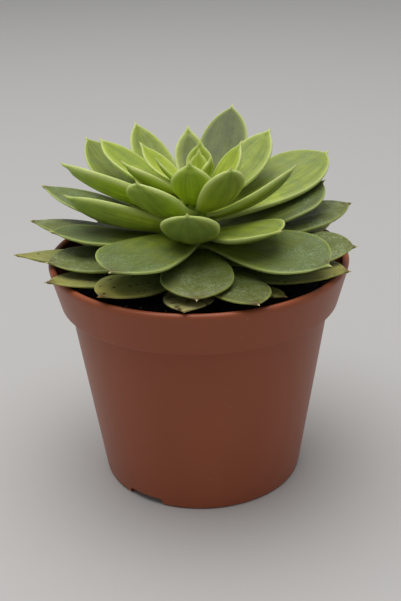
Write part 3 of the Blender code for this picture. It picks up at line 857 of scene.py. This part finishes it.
def make_leaf(name, row, section, age, tone, seed, material):
    """A leaf as rings of points along its midline, a quadratic curve in the upright plane at
    the leaf's azimuth. Each ring is a flattened oval, blunter at the margins than an ellipse,
    with most of its flesh below them, cupped upwards and softly uneven. Past the blade's end
    the rings go on as a thin round bristle. Each point carries its distance from the margin,
    its place along the blade and its side, the leaf's age, lightness and bristle, and its lane
    across and along the blade for the veins. The lightness is partly painted light and shade,
    and above LIGHT_TONE it is painted light put mostly on the leaf's outer side."""
    azimuth, reach, tip, root, width, thickness, bow, roll, widest = row
    upper_share, cup = section
    random = np.random.default_rng(seed)
    start = np.array([stem_radius(root) + GAP, root])
    end = np.array([reach, tip])
    chord = end - start
    length = np.linalg.norm(chord)
    control = (start + end) / 2 + bow * np.array([chord[1], -chord[0]])

    blade_rows = (1 - np.cos(pi * np.arange(1, LEAF_ROWS) / LEAF_ROWS)) / 2
    bristle_length = (BRISTLE_LENGTH if width > NARROW_LEAF else SHORT_BRISTLE) / length
    bristle_rows = 1 + bristle_length * np.linspace(0.0, 0.92, BRISTLE_ROWS)
    share = np.concatenate([blade_rows, bristle_rows])
    on_blade = np.clip(share, 0, 1)
    t = on_blade[:, None]
    middle = (1 - t) ** 2 * start + 2 * t * (1 - t) * control + t**2 * end
    run = 2 * (1 - t) * (control - start) + 2 * t * (end - control)
    run /= np.linalg.norm(run, axis=1, keepdims=True)
    middle += (share - on_blade)[:, None] * length * run

    outline = blade_outline(np.clip(share / (1 - CUSP_LENGTH / length), 0, 1), widest)
    from_end = (1 - share) * length
    cusp = BRISTLE_RADIUS + CUSP_SLOPE * np.clip(from_end, 0, CUSP_SPAN)
    taper = BRISTLE_RADIUS * (1 - 0.85 * np.clip((share - 1) / bristle_length, 0, 1))
    body = width / 2 * outline
    half = np.where(share <= 1, (body**4 + cusp**4 * np.exp(-from_end)) ** 0.25, taper)
    depth = thickness * blade_thickness(on_blade, outline)
    depth = np.where(share <= 1, np.maximum(depth, np.minimum(1.4 * cusp, 1.0)), 2 * taper)

    angle = (2 * pi * np.arange(LEAF_COLUMNS) / LEAF_COLUMNS)[None, :]
    side, lift = np.cos(angle), np.sin(angle)
    flesh = np.sign(lift) * np.abs(lift) ** SECTION_POWER
    across = half[:, None] * side
    upper = np.where(share <= 1, upper_share, 0.5)[:, None]
    up = np.where(lift > 0, upper, 1 - upper) * depth[:, None] * flesh
    curl = cup * half * np.sin(np.clip(share / 0.5, 0, 1) * pi / 2) * (share <= 1)
    up = up + curl[:, None] * side**2
    phase = random.uniform(0, 2 * pi, 4)
    ends = np.sin(pi * on_blade)[:, None] ** 0.7
    wave = np.sin(9 * share[:, None] + phase[0] + 2.0 * side) * side**2
    hollow = np.cos(6 * share[:, None] + phase[1]) * (1 - side**2)
    up = up + ends * (MARGIN_WAVE * wave + FACE_WAVE * hollow) * width / WAVED_WIDTH
    pressed = ends * thickness / KEELED_THICKNESS
    up = up - GROOVE_DEPTH * pressed * np.exp(-(side / GROOVE_WIDTH) ** 2) * (lift > 0)
    up = up - KEEL_DEPTH * pressed * np.exp(-(side / KEEL_WIDTH) ** 2) * (lift < 0)

    turn = radians(roll)
    across, up = across * cos(turn) - up * sin(turn), across * sin(turn) + up * cos(turn)
    radius = middle[:, :1] - up * run[:, 1:]
    height = middle[:, 1:] + up * run[:, :1]
    way = radians(azimuth)
    x = radius * cos(way) + across * sin(way)
    y = radius * sin(way) - across * cos(way)
    rings = np.stack([x, y, height], axis=-1)

    first = np.array([start[0] * cos(way), start[0] * sin(way), start[1]])
    point = end + bristle_length * length * run[-1]
    last = np.array([point[0] * cos(way), point[0] * sin(way), point[1]])

    from_margin = half[:, None] * (1 - np.abs(side))
    along = np.repeat(share[:, None], LEAF_COLUMNS, axis=1)
    top = np.repeat(lift, len(share), axis=0)
    blade = np.stack([from_margin, along, top], axis=-1).reshape(-1, 3)
    blade = np.vstack([blade, [0, 0, 0], [0, 1, 0]])
    tint = random.random()
    spread = side * np.ones_like(across) * width / 2
    lane = np.stack([spread, along * length, tint * np.ones_like(across)], axis=-1)
    lane = np.vstack([lane.reshape(-1, 3), [0, 0, tint], [0, length, tint]])
    bristle = np.clip((0.35 - from_end) / 0.5, 0, 1)
    bristle = np.repeat(bristle[:, None], LEAF_COLUMNS, axis=1).ravel()
    bristle = np.append(bristle, [0.0, 1.0])
    # painted light: a leaf set lighter than the rest is lighter mostly on its outer side, the
    # underside that is turned away from the lamp
    outer = np.clip(0.5 - 2.0 * top.ravel(), 0, 1)
    shade = min(tone, LIGHT_TONE) + max(tone - LIGHT_TONE, 0) * np.append(outer, [0.5, 0.5])
    growth_and_shade = np.stack([0 * bristle + age, shade, bristle], axis=-1)
    attributes = {"blade": blade, "growth_and_shade": growth_and_shade, "lane": lane}
    return closed_piece(name, rings, first, last, material, attributes)


# ---------------------------------------------------------------- stage

def make_floor():
    """Wide pale floor under the pot."""
    material, _, shader = new_material("pale_laminate")
    shader.inputs["Base Color"].default_value = colour("c0bebb")
    shader.inputs["Roughness"].default_value = 0.6
    mesh = bpy.data.meshes.new("floor")
    corners = [(x * FLOOR_HALF, y * FLOOR_HALF, 0) for x, y in ((-1, -1), (1, -1), (1, 1), (-1, 1))]
    mesh.from_pydata(corners, [], [(0, 1, 2, 3)])
    mesh.materials.append(material)
    floor = bpy.data.objects.new("floor", mesh)
    bpy.context.scene.collection.objects.link(floor)


def add_light(name, place, aim, size, power):
    """A round area lamp that faces the point it is aimed at."""
    light = bpy.data.lights.new(name, "AREA")
    light.shape = "DISK"
    light.size = size
    light.energy = power
    lamp = bpy.data.objects.new(name, light)
    lamp.location = place
    lamp.rotation_euler = (Vector(aim) - Vector(place)).to_track_quat("-Z", "Y").to_euler()
    bpy.context.scene.collection.objects.link(lamp)


def light_stage():
    """Plain soft studio light: a wide lamp overhead and a pale surround."""
    world = bpy.data.worlds.new("studio")
    bpy.context.scene.world = world
    world.use_nodes = True
    background = world.node_tree.nodes["Background"]
    background.inputs["Color"].default_value = colour("f2f4f6")
    background.inputs["Strength"].default_value = SURROUND_STRENGTH
    add_light("overhead", LAMP_PLACE, LAMP_AIM, LAMP_SIZE, LAMP_WATTS)
    bpy.context.scene.view_settings.view_transform = "Standard"


def place_camera():
    """Camera in front of the pot, looking down on it, turned slightly about its own line."""
    elevation = radians(CAMERA_ELEVATION)
    turn = radians(CAMERA_TURN)
    forward = Vector((0, cos(elevation), -sin(elevation)))
    level = Vector((1, 0, 0))
    upright = Vector((0, sin(elevation), cos(elevation)))
    right = cos(turn) * level + sin(turn) * upright
    up = cos(turn) * upright - sin(turn) * level
    data = bpy.data.cameras.new("camera")
    data.sensor_width = SENSOR_WIDTH
    data.lens = LENS
    data.clip_start = NEAR_CLIP
    camera = bpy.data.objects.new("camera", data)
    axes = Matrix((right, up, -forward)).transposed().to_4x4()
    place = Vector(CAMERA_AIM) - forward * CAMERA_DISTANCE
    camera.matrix_world = Matrix.Translation(place) @ axes
    bpy.context.scene.collection.objects.link(camera)
    bpy.context.scene.camera = camera


# ---------------------------------------------------------------- assembly

def settle(piece, slot, *nodes):
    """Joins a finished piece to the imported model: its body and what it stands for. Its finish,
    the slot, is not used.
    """
    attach(piece, BODY)
    if nodes:
        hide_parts(*nodes)


place_camera()
light_stage()
make_floor()

settle(make_pot(moulded_polypropylene()), "pot_plastic", "pot")
compost = damp_compost("damp_compost", "0d0906", "2c2019", 1.6)
settle(make_soil(compost), "soil", "soil")
settle(scatter("soil_crumbs", 900, 0.6, 3.2, 11, compost), "soil")
bark = damp_compost("bark_fibre", "3a2718", "6b4c31", 1.0)
settle(scatter("bark_chips", 140, 0.6, 2.4, 12, bark), "soil")
grit = damp_compost("pale_grit", "8d8678", "c9c3b4", 0.8)
settle(scatter("grit_specks", 60, 0.4, 1.3, 13, grit), "soil")
settle(make_stem(stem_rind()), "stem", "stem")

skin = waxy_leaf_skin()
seed = 100
for tier, rows in LEAVES.items():
    for number, row in enumerate(rows, 1):
        seed += 1
        node = f"{tier}_{number:02d}"
        age = WITHERED.get(node, AGES[tier])
        tone = TONES.get(node, 1.0)
        leaf = make_leaf(f"{node}_blade", row, SECTIONS[tier], age, tone, seed, skin)
        settle(leaf, SLOTS[tier], node)
